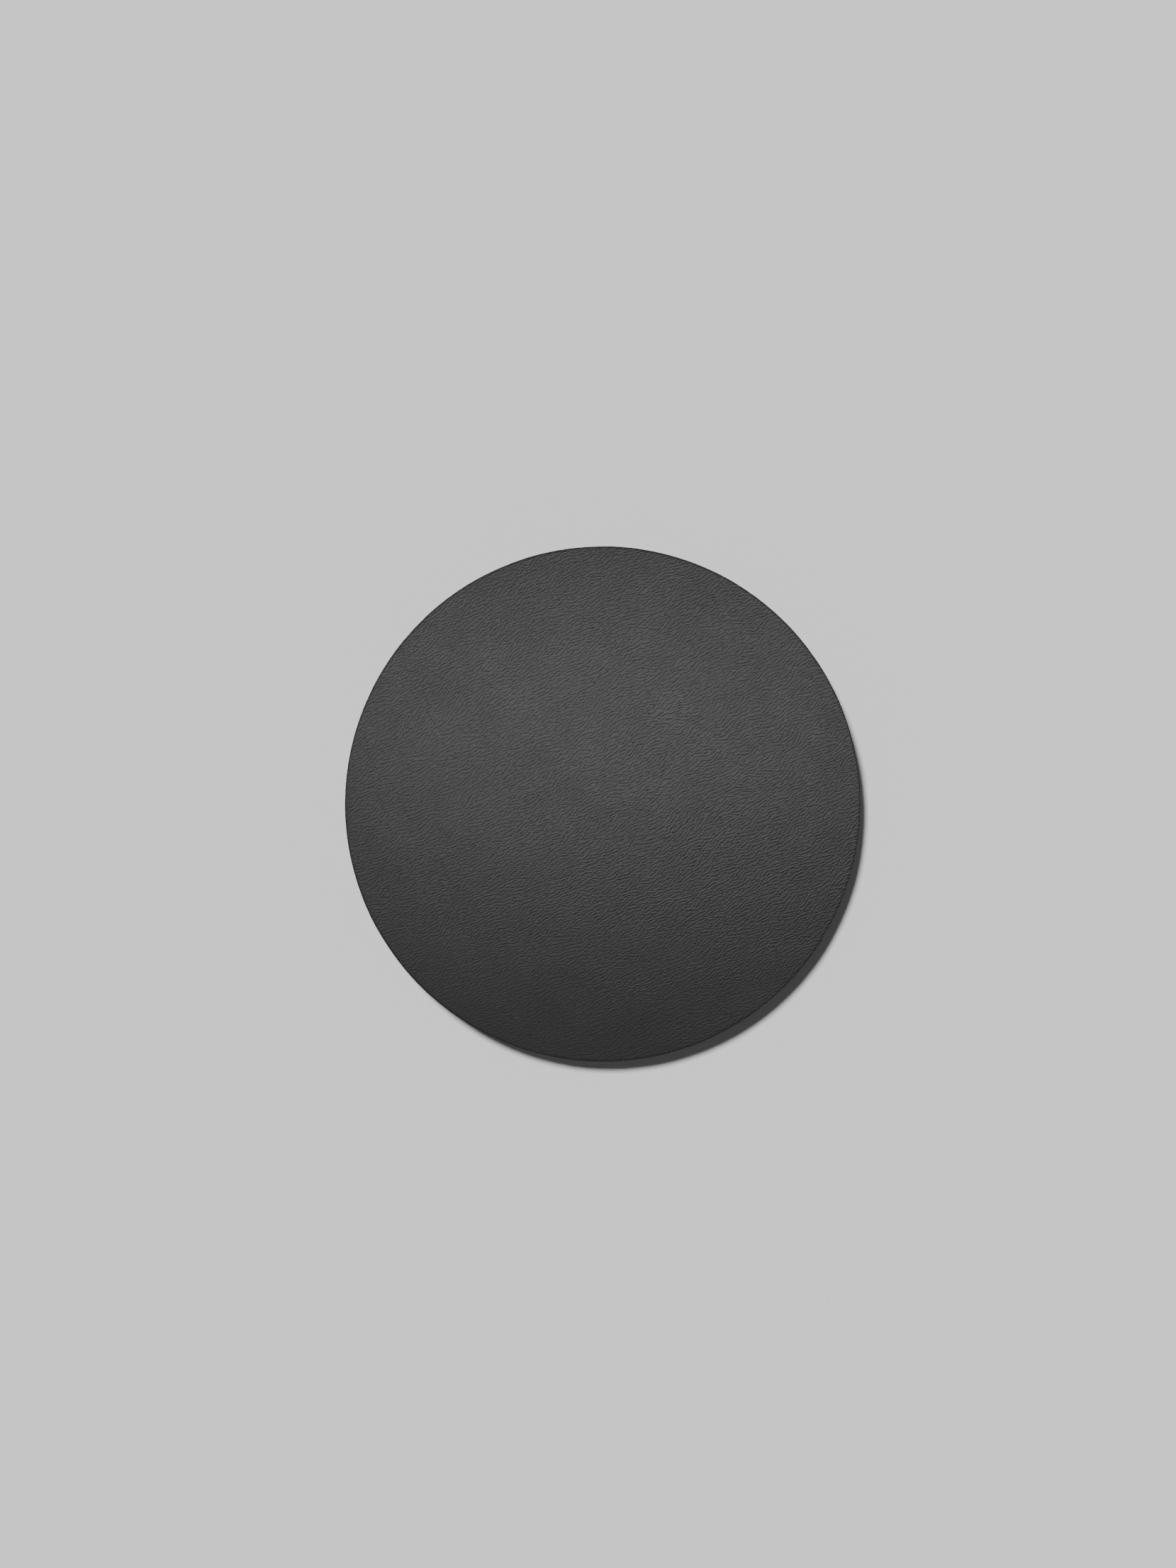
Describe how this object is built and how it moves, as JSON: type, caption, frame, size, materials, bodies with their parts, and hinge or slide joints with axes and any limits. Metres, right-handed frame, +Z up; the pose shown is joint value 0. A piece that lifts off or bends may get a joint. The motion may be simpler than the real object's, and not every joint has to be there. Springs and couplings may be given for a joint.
{
  "type": "dealer button",
  "caption": "Flat round leather-faced button with a weighted core, laid in front of a player to show who deals.",
  "frame": {"origin": "centre of the back face, which rests on the table", "axes": "+Z up along the button's axis, from the back face to the front face; X and Y are alike"},
  "size_m": [0.0636, 0.0636, 0.007],
  "materials": {
    "leather": "black grained leather, semi-matt, cut edge dyed black",
    "fibreboard": "dense fibreboard, dyed black, matt cut edge",
    "steel": "plated, satin",
    "adhesive": "clear double-sided adhesive film"
  },
  "bodies": {
    "root": {"back_leather": "leather", "back_adhesive_film": "adhesive", "core_ring": "fibreboard", "steel_weight": "steel", "front_adhesive_film": "adhesive", "front_leather": "leather"}
  },
  "joints": []
}
